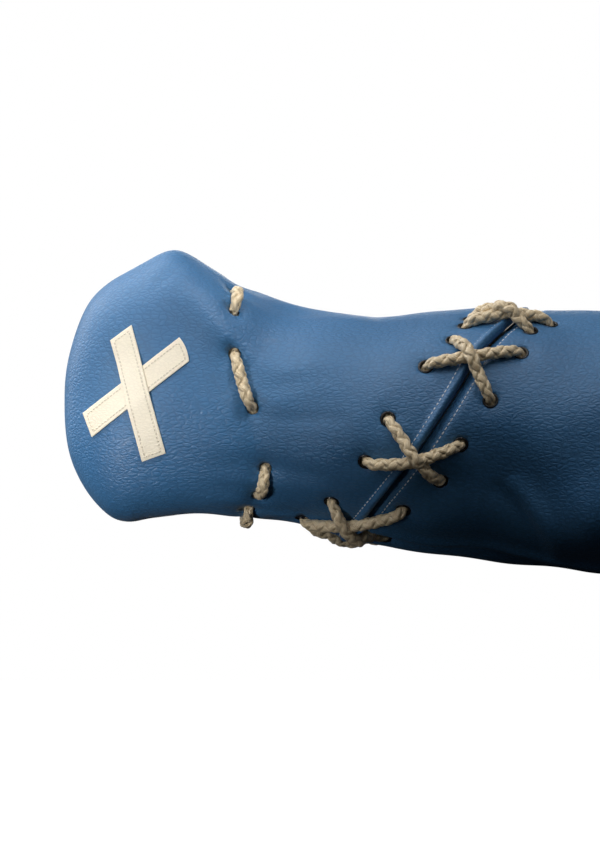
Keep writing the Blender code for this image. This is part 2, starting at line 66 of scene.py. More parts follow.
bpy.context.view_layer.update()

# %% [markdown]
# ## The skin as a rule
# A stuffed limb could be sculpted, or built from a cage. Here it is a rule instead: three outlines
# give the top, the underside and the side, and each cross-section is a rounded oval between them. Any
# place on the skin is then an x and an angle (0 on top, a quarter turn on the front side, a half turn
# underneath). Everything sewn or laced to the skin asks the same rule for its height and its tilt, so
# it lies on the skin wherever it is put.

# %% Outlines of the limb, in metres
TIP = (-0.460, 0.023)
TOP_LINE = [
    (-0.457, 0.053), (-0.446, 0.085), (-0.431, 0.102), (-0.407, 0.117), (-0.386, 0.1245),
    (-0.364, 0.113), (-0.343, 0.102), (-0.313, 0.091), (-0.277, 0.082), (-0.250, 0.080),
    (-0.210, 0.083), (-0.163, 0.0865), (-0.123, 0.083), (-0.070, 0.0845), (-0.030, 0.0845), (0.0, 0.083),
]
BOTTOM_LINE = [
    (-0.457, -0.009), (-0.447, -0.033), (-0.432, -0.051), (-0.418, -0.0565), (-0.400, -0.054),
    (-0.373, -0.052), (-0.343, -0.053), (-0.313, -0.056), (-0.283, -0.063), (-0.253, -0.072),
    (-0.200, -0.080), (-0.143, -0.087), (-0.100, -0.091), (-0.060, -0.088), (-0.030, -0.0845), (0.0, -0.083),
]
SIDE_LINE = [
    (-0.457, 0.024), (-0.446, 0.038), (-0.428, 0.049), (-0.400, 0.056), (-0.370, 0.060),
    (-0.343, 0.063), (-0.313, 0.068), (-0.270, 0.077), (-0.210, 0.084), (-0.150, 0.087),
    (-0.100, 0.088), (-0.060, 0.087), (-0.030, 0.0845), (0.0, 0.083),
]
LINE_STEPS = 12  # curve points from one outline point to the next


def curve_between(a, b, c, d, t):
    """A place on the smooth curve from b (t is 0) to c (t is 1), whose outer neighbours are a and d."""
    square = (2 * a - 5 * b + 4 * c - d) * t**2
    cube = (3 * b - a - 3 * c + d) * t**3
    return 0.5 * (2 * b + (c - a) * t + square + cube)


def curve_through(points, before):
    """Points along a smooth curve from the tip through points; before is its neighbour past the tip."""
    knots = [np.array(p, float) for p in (before, TIP, *points)]
    knots.append(2 * knots[-1] - knots[-2])
    line = []
    for four in zip(knots, knots[1:], knots[2:], knots[3:]):
        line += [curve_between(*four, step / LINE_STEPS) for step in range(LINE_STEPS)]
    line.append(knots[-2])
    return np.array(line).T


TOP = curve_through(TOP_LINE, BOTTOM_LINE[0])
BOTTOM = curve_through(BOTTOM_LINE, TOP_LINE[0])
SIDE_BEFORE = (SIDE_LINE[0][0], TIP[1] - SIDE_LINE[0][1])
SIDE = curve_through([(x, y + TIP[1]) for x, y in SIDE_LINE], SIDE_BEFORE)
print("outline points:", TOP.shape[1], BOTTOM.shape[1], SIDE.shape[1])

# %% A place on the skin
BODY_ROUND, HEAD_ROUND = 2.0, 2.9
HEAD_ROUND_FROM, HEAD_ROUND_TO = -0.370, -0.310
SEAM_X, SEAM_SLANT = -0.2195, 0.050
SEAM_CURL, SEAM_CURL_FROM = 0.100, 0.55
NECK_X = -0.340


def smooth_step(value, low, high):
    t = np.clip((value - low) / (high - low), 0, 1)
    return t * t * (3 - 2 * t)


def hill(distance, width):
    """1 at distance 0, falling smoothly to nothing a couple of widths away."""
    return np.exp(-((distance / width) ** 2))


def roundness(x):
    """The exponent of the cross-section at x: 2 is an oval, and more is squarer."""
    return HEAD_ROUND + (BODY_ROUND - HEAD_ROUND) * smooth_step(x, HEAD_ROUND_FROM, HEAD_ROUND_TO)


def skin_point(x, angle):
    x, angle = np.broadcast_arrays(np.asarray(x, float), np.asarray(angle, float))
    top, bottom = np.interp(x, *TOP), np.interp(x, *BOTTOM)
    half_width = np.interp(x, *SIDE) - TIP[1]
    power = 2 / roundness(x)
    c, s = np.cos(angle), np.sin(angle)
    up = np.sign(c) * np.abs(c) ** power
    out = np.sign(s) * np.abs(s) ** power
    return np.stack([x, -half_width * out, (top + bottom) / 2 + (top - bottom) / 2 * up], -1)


def unit(v):
    return v / np.maximum(np.linalg.norm(v, axis=-1, keepdims=True), 1e-12)


def normal_of(surface, x, angle, dx=0.0015, da=0.03):
    along = surface(x + dx, angle) - surface(x - dx, angle)
    around = surface(x, angle + da) - surface(x, angle - da)
    return unit(np.cross(around, along))


def seam_lean(angle):
    """How far the seam lies towards the root from SEAM_X at this angle."""
    return SEAM_SLANT * np.cos(angle) + SEAM_CURL * np.maximum(0, np.cos(angle) - SEAM_CURL_FROM) ** 2


def seam_x(angle):
    return SEAM_X + seam_lean(angle)


# %% [markdown]
# ## Where the laces go
# The neck cord is one running stitch right round. The seam is closed by two cords that cross again
# and again, so each cross needs four holes. Hand lacing is never even, so the crosses on the front
# are placed one by one and the rest, behind, follow a steady rule.

# %% Holes for the laces: an angle in degrees, and x from the neck line or from the seam
NECK_STITCHES = [
    ((22, -0.0045), (47, -0.0060)), ((73.5, -0.0060), (91.5, 0.0055)), ((124, 0.0140), (143.5, 0.0095)),
    ((161, 0.003), (182, 0.0)), ((205, -0.004), (230, -0.006)), ((254, -0.004), (280, 0.001)),
    ((302, 0.003), (325, -0.002)),
]
CROSS_ENDS = ("over_left", "over_right", "under_left", "under_right")
FRONT_CROSSES = [
    ((19.5, -0.0345), (35, 0.0185), (28, -0.031), (26, 0.0235)),
    ((41, -0.0260), (74, 0.0250), (56.5, -0.030), (50, 0.0265)),
    ((83.5, -0.033), (116, 0.028), (107, -0.0275), (95, 0.0235)),
    ((139, -0.0265), (174, 0.021), (161, -0.035), (137, 0.0190)),
]
BACK_CROSS = ((0, -0.029), (36, 0.029), (22.5, -0.029), (13.5, 0.029))  # angles from the cross's start
BACK_STARTS = (190, 227, 264, 301)


def back_cross(start):
    return tuple((start + angle, x) for angle, x in BACK_CROSS)


def seam_hole(place):
    angle = math.radians(place[0])
    return float(seam_x(angle)) + place[1], angle


def neck_hole(place):
    return NECK_X + place[1], math.radians(place[0])


CROSSES = [
    {end: seam_hole(hole) for end, hole in zip(CROSS_ENDS, cross)}
    for cross in FRONT_CROSSES + [back_cross(start) for start in BACK_STARTS]
]
NECK_RUNS = [(neck_hole(a), neck_hole(b)) for a, b in NECK_STITCHES]
NECK_HOLES = [hole for run in NECK_RUNS for hole in run]
FRONT_HOLES = [cross[key] for cross in CROSSES for key in ("over_left", "under_left")]
REAR_HOLES = [cross[key] for cross in CROSSES for key in ("over_right", "under_right")]
print("holes:", len(NECK_HOLES), "round the neck,", len(FRONT_HOLES) + len(REAR_HOLES), "beside the seam")


def between(start, end, share):
    """The (x, angle) at that share of the way from one hole to the other, the short way round."""
    turn = (end[1] - start[1] + math.pi) % FULL_TURN - math.pi
    return start[0] + share * (end[0] - start[0]), start[1] + share * turn


# %% [markdown]
# ## How the leather gives
# Plain skin looks inflated. Real leather sinks at every hole that a cord pulls on, puckers between
# them, folds down into the seam, and slackens where the filling is thin. A cloth simulation can find
# such shapes, but it also moves the outline and the holes. Each effect is instead a small height
# added along the skin's normal, at its own place.

# %% Heights added to the skin, in metres
SEAM_COS = 0.85  # turns a distance along X into one square to the slanted seam
NECK_HOLE_DIMPLE, SEAM_HOLE_DIMPLE = (0.0022, 0.008), (0.0018, 0.009)  # how deep, how wide
NECK_UNDER_DIP, NECK_OVER_DIP = (0.0014, 0.010), (0.0010, 0.007)
PUCKER_HEIGHT, PUCKER_REACH = 0.0009, 0.024
TURN_FROM, TURN_TO = -0.0012, 0.0004  # across the seam, from the front cover's edge to the rear one's
FRONT_ROLL_HEIGHT, FRONT_ROLL_AT, FRONT_ROLL_WIDE = 0.0030, -0.0030, 0.0030
REAR_SINK_DEPTH, REAR_SINK_AT, REAR_SINK_WIDE = 0.0054, 0.0004, 0.0042
# On top, the seam's edges stand out this much less, from this cosine of the angle
TOP_FLATTENING, FLATTER_FROM = 0.6, 0.85
ROW_FRONT, ROW_REAR = -0.0062, 0.0064  # the two rows of topstitching, either side of the seam
GROOVE_DEPTH, FRONT_GROOVE_WIDE, REAR_GROOVE_WIDE = 0.0006, 0.0008, 0.0009
LIP_ANGLE = math.radians(160)  # a soft lip runs along the limb here, with a hollow under it
LIP_HEIGHT, LIP_WIDE, LIP_FADE = 0.0026, 0.07, 0.04
LIP_HOLLOW_DEPTH, LIP_HOLLOW_OFF, LIP_HOLLOW_WIDE = 0.0034, 0.17, 0.09
SWELL_COUNT, SWELL_LENGTHS, SWELL_HEIGHT = 14, (0.040, 0.095), 0.00026
SWELL_FROM, SWELL_TO = TIP[0] + 0.01, TIP[0] + 0.05
PUCKER_ROWS, PUCKER_COUNTS = 5, (9, 26)
rng = np.random.default_rng(7)
SWELLS = [
    (unit(rng.normal(size=3)), rng.uniform(*SWELL_LENGTHS), rng.uniform(0, FULL_TURN))
    for _ in range(SWELL_COUNT)
]


def samples_between(runs, spacing_share=0.125):
    shares = np.arange(spacing_share, 1, spacing_share)
    places = np.array([between(a, b, t) for a, b in runs for t in shares])
    return skin_point(places[:, 0], places[:, 1])


def nearest(points, targets):
    flat = points.reshape(-1, 3)
    best = np.full(len(flat), 1e9)
    for target in targets:
        best = np.minimum(best, np.linalg.norm(flat - target, axis=1))
    return best.reshape(points.shape[:-1])


HOLE_POINTS = {
    name: np.array([skin_point(*hole) for hole in holes])
    for name, holes in (("neck", NECK_HOLES), ("seam", FRONT_HOLES + REAR_HOLES))
}
# Over the first run beneath, the leather stands up in a ridge instead
SUNK_RUNS = list(zip(NECK_RUNS, NECK_RUNS[1:] + NECK_RUNS[:1]))[1:]
NECK_UNDER = samples_between([(a[1], b[0]) for a, b in SUNK_RUNS])
NECK_OVER = samples_between(NECK_RUNS)
DIPS = (
    (HOLE_POINTS["neck"], NECK_HOLE_DIMPLE), (HOLE_POINTS["seam"], SEAM_HOLE_DIMPLE),
    (NECK_UNDER, NECK_UNDER_DIP), (NECK_OVER, NECK_OVER_DIP),
)
PUCKERS = [(rng.integers(*PUCKER_COUNTS), rng.uniform(0, FULL_TURN)) for _ in range(PUCKER_ROWS)]


def seam_distance(x, angle):
    return SEAM_COS * (x - seam_x(angle))


def seam_edges(t, angle):
    """The front cover's edge rolls up, and the rear one's sinks beneath it."""
    turned_in = smooth_step(t, TURN_FROM, TURN_TO)
    roll = (1 - turned_in) * FRONT_ROLL_HEIGHT * hill(t - FRONT_ROLL_AT, FRONT_ROLL_WIDE)
    sink = turned_in * REAR_SINK_DEPTH * hill(t - REAR_SINK_AT, REAR_SINK_WIDE)
    flatter_on_top = 1 - TOP_FLATTENING * smooth_step(np.cos(angle), FLATTER_FROM, 1.0)
    return flatter_on_top * (roll - sink)


def underside_lip(x, angle):
    lip = LIP_HEIGHT * hill(angle - LIP_ANGLE, LIP_WIDE)
    hollow = LIP_HOLLOW_DEPTH * hill(angle - LIP_ANGLE - LIP_HOLLOW_OFF, LIP_HOLLOW_WIDE)
    return smooth_step(x, NECK_X, NECK_X + LIP_FADE) * (lip - hollow)


def swell(points, finer=1):
    """Slow waves over the points, added up. A higher finer makes them shorter."""
    return sum(np.sin(FULL_TURN * (points @ way) * finer / length + phase) for way, length, phase in SWELLS)


def relief(x, angle):
    points = skin_point(x, angle)
    t = seam_distance(x, angle)
    height = -sum(depth * hill(nearest(points, places), width) for places, (depth, width) in DIPS)
    pucker = sum(np.sin(count * angle + phase) for count, phase in PUCKERS) / len(PUCKERS)
    height = height + PUCKER_HEIGHT * pucker * hill(x - NECK_X, PUCKER_REACH)
    height = height + seam_edges(t, angle)
    height = height - GROOVE_DEPTH * hill(t - ROW_FRONT, FRONT_GROOVE_WIDE)
    height = height - GROOVE_DEPTH * hill(t - ROW_REAR, REAR_GROOVE_WIDE)
    height = height + underside_lip(x, angle)
    height = height + SWELL_HEIGHT * swell(points) * smooth_step(x, SWELL_FROM, SWELL_TO)
    return height + folds(points)


# %% Folds that this pad has on its front side
# Hollows and bulges: x, z, how wide, and how high (below 0 sinks)
HOLLOWS = [
    (-0.318, 0.074, 0.026, -0.0070), (-0.305, -0.020, 0.024, -0.0016),
    (-0.178, -0.038, 0.044, -0.0125), (-0.112, -0.052, 0.022, 0.0070), (-0.253, 0.082, 0.005, -0.0016),
    (-0.150, 0.020, 0.035, 0.0016), (-0.292, 0.010, 0.030, -0.0014), (-0.252, -0.056, 0.036, -0.0060),
]
# Long folds as lines: from (x, z), to (x, z), how wide, and how high
LINES = [
    ((-0.168, -0.030), (-0.126, -0.084), 0.008, 0.0034), ((-0.388, 0.105), (-0.334, 0.050), 0.015, 0.0046),
    ((-0.180, -0.034), (-0.140, -0.080), 0.007, -0.0022), ((-0.335, 0.030), (-0.280, 0.042), 0.006, -0.0010),
    ((-0.330, 0.012), (-0.270, 0.012), 0.005, -0.0008), ((-0.330, -0.020), (-0.285, -0.028), 0.006, -0.0010),
]
FRONT_FROM, FRONT_TO = -0.005, 0.020  # the folds fade in here, from the middle to the front side
FOLD_ENDS = 0.7  # under 1, a long fold keeps its height closer to its ends


def folds(points):
    x, z = points[..., 0], points[..., 2]
    front = smooth_step(-points[..., 1], FRONT_FROM, FRONT_TO)
    height = np.zeros_like(x)
    for at_x, at_z, width, depth in HOLLOWS:
        height = height + depth * hill(np.hypot(x - at_x, z - at_z), width)
    for start, end, width, depth in LINES:
        a, way = np.array(start), np.array(end) - np.array(start)
        share = np.clip(((x - a[0]) * way[0] + (z - a[1]) * way[1]) / (way @ way), 0, 1)
        off = np.hypot(x - a[0] - share * way[0], z - a[1] - share * way[1])
        height = height + depth * hill(off, width) * np.sin(math.pi * share) ** FOLD_ENDS
    return front * height


def leather(x, angle):
    """The skin as it really lies: the plain rule plus its relief."""
    return skin_point(x, angle) + relief(x, angle)[..., None] * normal_of(skin_point, x, angle)


print("relief at the third neck hole:", round(float(relief(*NECK_HOLES[2])) * 1000, 1), "mm")

# %% [markdown]
# ## Helpers for pieces
# Each piece is a mesh made from arrays of points, linked to the scene, and tied to the pad's one
# rigid body.

# %% Make a piece
def new_piece(name, verts, faces, finish, stands_for=()):
    mesh = bpy.data.meshes.new(name)
    mesh.from_pydata([tuple(map(float, v)) for v in verts], [], [tuple(map(int, f)) for f in faces])
    mesh.update()
    piece = bpy.data.objects.new(name, mesh)
    bpy.context.scene.collection.objects.link(piece)
    mesh.materials.append(finish)
    mesh.shade_smooth()
    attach(piece, "root")
    if stands_for:
        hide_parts(*stands_for)
    return piece


def grid_faces(rows, columns, closed=True):
    faces = []
    for i in range(rows - 1):
        for j in range(columns if closed else columns - 1):
            k = (j + 1) % columns
            here, beyond = i * columns, (i + 1) * columns
            faces.append((here + j, here + k, beyond + k, beyond + j))
    return faces


# %% [markdown]
# ## Faux leather
# Faux leather is a plastic film pressed with a pebble pattern, so its colour is nearly even and its
# character is in the surface: rounded cells a few millimetres across, finer cells inside them, and a
# soft gloss that breaks up on the grain. A Voronoi texture gives the distance to a cell's edge, which
# becomes the bump, and also a painted shade that darkens the colour in the creases between cells. A
# little noise bends the cells so they don't look cut out, and slower noise shifts the colour and gloss
# as handling does.

# %% Node helpers
def new_finish(name):
    made = bpy.data.materials.new(name)
    made.use_nodes = True
    tree = made.node_tree
    return made, tree, tree.nodes["Principled BSDF"]


def add_node(tree, kind, **values):
    made = tree.nodes.new(kind)
    for key, value in values.items():
        if key in made.inputs:
            made.inputs[key].default_value = value
        else:
            setattr(made, key, value)
    return made


def fill_sockets(tree, node, values):
    """Links each output to the socket of its name, and sets each plain value on it."""
    for key, value in values.items():
        if isinstance(value, bpy.types.NodeSocket):
            tree.links.new(value, node.inputs[key])
        else:
            node.inputs[key].default_value = value


def object_coords(tree):
    return add_node(tree, "ShaderNodeTexCoord").outputs["Object"]


def noise(tree, coords, scale, detail=3.0):
    made = add_node(tree, "ShaderNodeTexNoise", Scale=scale, Detail=detail)
    tree.links.new(coords, made.inputs["Vector"])
    return made.outputs["Fac"]


def stretched(tree, source, scale):
    made = add_node(tree, "ShaderNodeMapping", Scale=scale)
    tree.links.new(source, made.inputs["Vector"])
    return made.outputs["Vector"]


def ramp(tree, source, low, high, low_value, high_value):
    made = add_node(tree, "ShaderNodeMapRange", clamp=True)
    ends = {"From Min": low, "From Max": high, "To Min": low_value, "To Max": high_value}
    fill_sockets(tree, made, {"Value": source, **ends})
    return made.outputs["Result"]


def blend_colours(tree, factor, first, second):
    made = add_node(tree, "ShaderNodeMix", data_type="RGBA")
    fill_sockets(tree, made, {"Factor": factor, "A": (*first, 1), "B": (*second, 1)})
    return made.outputs["Result"]


def bump(tree, height, distance, strength, under=None):
    made = add_node(tree, "ShaderNodeBump", Distance=distance, Strength=strength)
    tree.links.new(height, made.inputs["Height"])
    if under:
        tree.links.new(under, made.inputs["Normal"])
    return made.outputs["Normal"]


GLOSS_SPREAD = (-0.06, 0.08)  # how far the roughness strays from its middle value


def uneven_gloss(tree, source, roughness):
    rough, matt = (roughness + change for change in GLOSS_SPREAD)
    return ramp(tree, source, 0.3, 0.7, rough, matt)


# %% Pebbled leather
GRAIN_STRETCH = (0.58, 1.0, 1.22)  # cells lie long along the limb
WOBBLE_SCALE, WOBBLE_REACH = 0.35, 0.6  # the noise that bends the cells, against the cell size
FINE_CELL, EDGE_SHARE = 0.45, 0.30  # size of the finer cells, and how far in from its edge a cell rises
SLOW, PATCHY, FINEST = 14.0, 30.0, 2500.0  # noise scales
FINEST_BUMP, SMALL_BUMP, PEBBLE_BUMP = 0.5, 0.7, 0.75  # how strongly each bump shows
FINEST_DEPTH, SMALL_SHARE = 0.00006, 0.4


def pebbled_leather(name, lit, shaded, cell, depth, roughness, painted_crease_shade):
    made, tree, shader = new_finish(name)
    coords = object_coords(tree)
    wobble = add_node(tree, "ShaderNodeTexNoise", Scale=WOBBLE_SCALE / cell, Detail=2.0)
    tree.links.new(coords, wobble.inputs["Vector"])
    shift = add_node(tree, "ShaderNodeVectorMath", operation="SCALE", Scale=WOBBLE_REACH * cell)
    bent = add_node(tree, "ShaderNodeVectorMath", operation="ADD")
    fill_sockets(tree, shift, {0: wobble.outputs["Color"]})
    fill_sockets(tree, bent, {0: coords, 1: shift.outputs["Vector"]})
    drawn = stretched(tree, bent.outputs["Vector"], GRAIN_STRETCH)
    heights = []
    for size in (cell, FINE_CELL * cell):
        cells = add_node(tree, "ShaderNodeTexVoronoi", Scale=1 / size, feature="DISTANCE_TO_EDGE")
        tree.links.new(drawn, cells.inputs["Vector"])
        heights.append(ramp(tree, cells.outputs["Distance"], 0.0, EDGE_SHARE, 0.0, 1.0))
    slow = noise(tree, coords, SLOW)
    shade = blend_colours(tree, ramp(tree, slow, 0.3, 0.7, 0, 1), shaded, lit)
    # Painted shade: the colour is multiplied darker towards each cell's edge, in the creases between cells
    crevice = add_node(tree, "ShaderNodeMix", data_type="RGBA", blend_type="MULTIPLY")
    painted_edge_shade = ramp(tree, heights[0], 0.0, 0.5, painted_crease_shade, 1.0)
    fill_sockets(tree, crevice, {"Factor": 1.0, "A": shade, "B": painted_edge_shade})
    fine = bump(tree, noise(tree, coords, FINEST), FINEST_DEPTH, FINEST_BUMP)
    small = bump(tree, heights[1], depth * SMALL_SHARE, SMALL_BUMP, fine)
    fill_sockets(tree, shader, {
        "Base Color": crevice.outputs["Result"],
        "Roughness": uneven_gloss(tree, noise(tree, coords, PATCHY), roughness),
        "Normal": bump(tree, heights[0], depth, PEBBLE_BUMP, small),
        "Specular IOR Level": 0.52, "Sheen Weight": 0.05, "Sheen Roughness": 0.45,
    })
    return made


# Both leathers get a painted shade in the creases of their grain; the last number is how dark it goes
BLUE_LEATHER = pebbled_leather("blue_leather", (0.046, 0.165, 0.345), (0.037, 0.140, 0.303),
                               cell=0.0030, depth=0.00027, roughness=0.48, painted_crease_shade=0.82)
CREAM_LEATHER = pebbled_leather("cream_leather", (0.92, 0.84, 0.68), (0.88, 0.79, 0.62),
                                cell=0.0022, depth=0.00012, roughness=0.50, painted_crease_shade=0.94)

# %% [markdown]
# ## The two covers
# Each cover is a net of rings from the rule above. The front one closes in a point at the tip and its
# last rings lean over to meet the seam. The holes are real: faces inside a hole are dropped and the
# rim is drawn on to a true circle. Solidify then gives the leather its thickness.

# %% Cover nets
AROUND = 320
LEATHER_THICK = 0.0015
RING_SPACING = 0.0015
SEAM_EDGE = 0.0003  # each cover stops this far from the seam's middle line
TIP_START, HEAD_RINGS = 0.03, 62  # rings from the tip to the neck, closer together at the tip
FILLING_BACK, REAR_EDGE_X = -0.0287, -0.010
HEM = ((-0.0074, 0.0828), (-0.0065, 0.0810), (-0.0065, 0.0620))
NECK_HOLE_RADIUS, EYELET_HOLE_RADIUS = 0.0042, 0.0045
ANGLES = FULL_TURN * np.arange(AROUND) / AROUND


def punch(points, faces, centres, radius):
    """Drops the faces inside each circle and draws the rim's points on to it."""
    points = points.copy()
    faces = np.array(faces)
    for centre in centres:
        away = np.linalg.norm(points - centre, axis=1)
        inside = away < radius
        touched = inside[faces].any(axis=1)
        dropped = faces[touched]
        faces = faces[~touched]
        rim = np.intersect1d(dropped, faces)
        out = points[rim] - centre
        points[rim] = centre + out * (radius / np.linalg.norm(out, axis=1))[:, None]
    return points, faces.tolist()


def front_rings():
    quarter = np.linspace(TIP_START, math.pi / 2, HEAD_RINGS)
    rings = [leather(TIP[0] + (NECK_X - TIP[0]) * (1 - math.cos(a)), ANGLES) for a in quarter]
    count = int((SEAM_X - NECK_X) / RING_SPACING)
    for n in range(1, count + 1):
        t = n / count
        x = NECK_X + t * (SEAM_X - SEAM_EDGE - NECK_X) + t * seam_lean(ANGLES)
        rings.append(leather(x, ANGLES))
    return rings


def rear_rings():
    count = int((FILLING_BACK - SEAM_X) / RING_SPACING)
    rings = []
    for n in range(count + 1):
        t = n / count
        straight = SEAM_X + SEAM_EDGE + t * (FILLING_BACK - SEAM_X - SEAM_EDGE)
        x = straight + (1 - t) * seam_lean(ANGLES)
        rings.append(leather(x, ANGLES))
    for x in np.arange(FILLING_BACK, REAR_EDGE_X, RING_SPACING)[1:]:
        rings.append(leather(x, ANGLES))
    edge = skin_point(REAR_EDGE_X, ANGLES)
    rings.append(edge)
    out = unit(edge * np.array([0, 1, 1]))
    for x, radius in HEM:
        rings.append(out * radius + np.array([x, 0, 0]))
    return rings


def cover(name, rings, holes, hole_radius, tip=None):
    points = np.concatenate(rings)
    faces = grid_faces(len(rings), AROUND)
    for group, radius in zip(holes, hole_radius):
        centres = np.array([leather(*hole) for hole in group])
        points, faces = punch(points, faces, centres, radius)
    if tip is not None:
        points = np.vstack([points, tip])
        faces += [(len(points) - 1, (j + 1) % AROUND, j) for j in range(AROUND)]
    piece = new_piece(name + "_leather", points, faces, BLUE_LEATHER, (name,))
    thick = piece.modifiers.new("thickness", "SOLIDIFY")
    thick.thickness = LEATHER_THICK
    thick.offset = -1
    print(name, len(points), "points,", len(faces), "faces")


FRONT_RADII = (NECK_HOLE_RADIUS, EYELET_HOLE_RADIUS)
cover("front_cover", front_rings(), (NECK_HOLES, FRONT_HOLES), FRONT_RADII, tip=skin_point(TIP[0], 0.0))
cover("rear_cover", rear_rings(), (REAR_HOLES,), (EYELET_HOLE_RADIUS,))

# %% [markdown]
# ## Braided cord
# The cord is six flat plaits, three winding each way and passing over and under each other. A twisted
# tube with a bump map would look like rope from far off, but the plaits catch the light one by one,
# so each is its own swept strip. Where a plait of one hand meets one of the other, one is lifted and
# the other pressed in by the same cosine.

# %% Cord finish: fine fibres along each plait, with painted shade in the grooves between them
def cord_finish():
    made, tree, shader = new_finish("braided_cord")
    uv = add_node(tree, "ShaderNodeTexCoord").outputs["UV"]
    fibres = noise(tree, stretched(tree, uv, (34, 1.2, 1)), 1.0, 4.0)
    shade = ramp(tree, fibres, 0.3, 0.7, 0, 1)
    # Partly painted shade, partly the fibres' own uneven tone: the colour runs from a shadow brown where the
    # fibre bump is low to a pale cream on its ridges
    colour = blend_colours(tree, shade, (0.50, 0.34, 0.16), (0.97, 0.84, 0.60))
    fill_sockets(tree, shader, {
        "Base Color": colour, "Normal": bump(tree, fibres, 0.0004, 0.8), "Roughness": 0.36, "Sheen Weight": 0.25,
    })
    return made


CORD = cord_finish()

# %% The way each cord runs
# Heights are over the leather, and distances are in from the nearer hole
HOLE_OUT, HOLE_IN, UNDER = 0.0012, -0.0036, -0.0076
LOW_STRAND, HIGH_STRAND = 0.0034, 0.0078
ENTRY = 0.0018  # a pulled cord lies against the side of its hole
LOW_STEPS, LOW_MIDDLE = [(ENTRY, HOLE_OUT), (0.0044, 0.0030), (0.009, 0.0036)], 0.0030
UNDER_STEPS = [(0, HOLE_IN), (0.0045, UNDER + 0.001)]
OVER_POINTS, OVER_RISE = 15, 0.009  # points along the strand on top, and where it is up to its height
CLIMB_WIDE, CLIMB_FROM = 0.0140, 0.016  # its climb over the strand beneath, full from this far in
LOW_LINE_STEP = 0.001
REST_REACH = np.linspace(-0.005, 0.005, 5)  # a taut cord feels for the highest leather this far along
REST_FROM, REST_TO = 0.002, 0.009
DROOP = math.radians(2.5)


def distance_along(line):
    return np.concatenate([[0], np.cumsum(np.linalg.norm(np.diff(line, axis=0), axis=1))])


def at_distances(line, travelled, at):
    return np.stack([np.interp(at, travelled, line[:, i]) for i in range(3)], 1)


def even_line(points, step):
    """Even points along straight stretches between points."""
    knots = np.array(points)
    travelled = distance_along(knots)
    return at_distances(knots, travelled, np.arange(0, travelled[-1], step))


def cord_place(x, angle, height, from_hole):
    """A place over the leather. Away from its holes a taut cord rests on the highest leather close by."""
    here, crest = float(relief(x, angle)), float(relief(x + REST_REACH, angle).max())
    base = here + (crest - here) * float(smooth_step(from_hole, REST_FROM, REST_TO))
    return skin_point(x, angle) + (base + height) * normal_of(skin_point, x, angle)


def slung(start, end, share):
    """As between, but a little lower in the middle, as a cord hangs that isn't quite tight."""
    x, angle = between(start, end, share)
    return x, angle + DROOP * math.sin(angle) * math.sin(math.pi * share)


def cord_run(start, end, steps, middle, way=between):
    """Cord points from one hole to the next: steps are (distance in from either end, height)."""
    length = float(np.linalg.norm(leather(*end) - leather(*start)))
    leaving = [cord_place(*way(start, end, d / length), h, d) for d, h in steps]
    arriving = [cord_place(*way(start, end, 1 - d / length), h, d) for d, h in reversed(steps)]
    return [*leaving, cord_place(*way(start, end, 0.5), middle, length / 2), *arriving]


def over_run(start, end, beneath):
    """The strand on top hugs the leather, and rises only where it climbs over the strand beneath."""
    low_line = even_line(low_run(*beneath), LOW_LINE_STEP)
    length = float(np.linalg.norm(leather(*end) - leather(*start)))
    points = []
    for share in np.linspace(ENTRY / length, 1 - ENTRY / length, OVER_POINTS):
        from_end = min(share, 1 - share) * length
        height = HOLE_OUT + (LOW_STRAND - HOLE_OUT) * smooth_step(from_end, 0, OVER_RISE)
        place = between(start, end, share)
        gap = np.linalg.norm(low_line - cord_place(*place, LOW_STRAND, from_end), axis=1).min()
        climb = hill(gap, CLIMB_WIDE) * smooth_step(from_end, 0, CLIMB_FROM)
        height += (HIGH_STRAND - LOW_STRAND) * climb
        points.append(cord_place(*place, float(height), from_end))
    return points


def low_run(start, end):
    return cord_run(start, end, LOW_STEPS, LOW_MIDDLE, slung)


def under_run(start, end):
    return cord_run(start, end, UNDER_STEPS, UNDER)


def neck_route():
    points = []
    for (out, back), (after, _) in zip(NECK_RUNS, NECK_RUNS[1:] + NECK_RUNS[:1]):
        points += low_run(out, back) + under_run(back, after)
    return points


def seam_route(first_over):
    points = []
    for count, (cross, after) in enumerate(zip(CROSSES, CROSSES[1:] + CROSSES[:1])):
        if (count % 2 == 0) == first_over:
            beneath = (cross["under_right"], cross["under_left"])
            points += over_run(cross["over_left"], cross["over_right"], beneath)
            points += under_run(cross["over_right"], after["under_right"])
        else:
            points += low_run(cross["under_right"], cross["under_left"])
            points += under_run(cross["under_left"], after["over_left"])
    return points


# %% Sweep the plaits
STEP = 0.0010
PLAITS = 3  # each way
CROSS_LENGTH = 0.0046  # cord length between one crossing and the next
PLAIT_OUT, PLAIT_LIFT, PLAIT_WIDE, PLAIT_THICK = 0.00250, 0.00055, 0.00245, 0.00135
PLAIT_SIDES = 6
HOLE_PINCH, PINCH_REACH = 0.30, 0.006  # a hole squeezes the cord by this share, over this distance
FIBRE_LENGTH = 0.004  # cord length that one repeat of the fibre pattern covers
LOOP_STEPS = 10  # curve points from one route point to the next
ODD_WAY, OTHER_ODD_WAY = (0.3, 0.5, 0.81), (0.2, 0.9, 0.4)  # to start a cross product from


def smooth_loop(points, step):
    """Even points along a smooth closed curve through points."""
    knots = np.array(points)
    t = (np.arange(LOOP_STEPS) / LOOP_STEPS)[None, :, None]
    four = [np.roll(knots, turn, 0)[:, None, :] for turn in (1, 0, -1, -2)]
    line = curve_between(*four, t).reshape(-1, 3)
    closed = np.vstack([line, line[:1]])
    travelled = distance_along(closed)
    count = int(travelled[-1] / step)
    at = np.linspace(0, travelled[-1], count, endpoint=False)
    return at_distances(closed, travelled, at), travelled[-1]


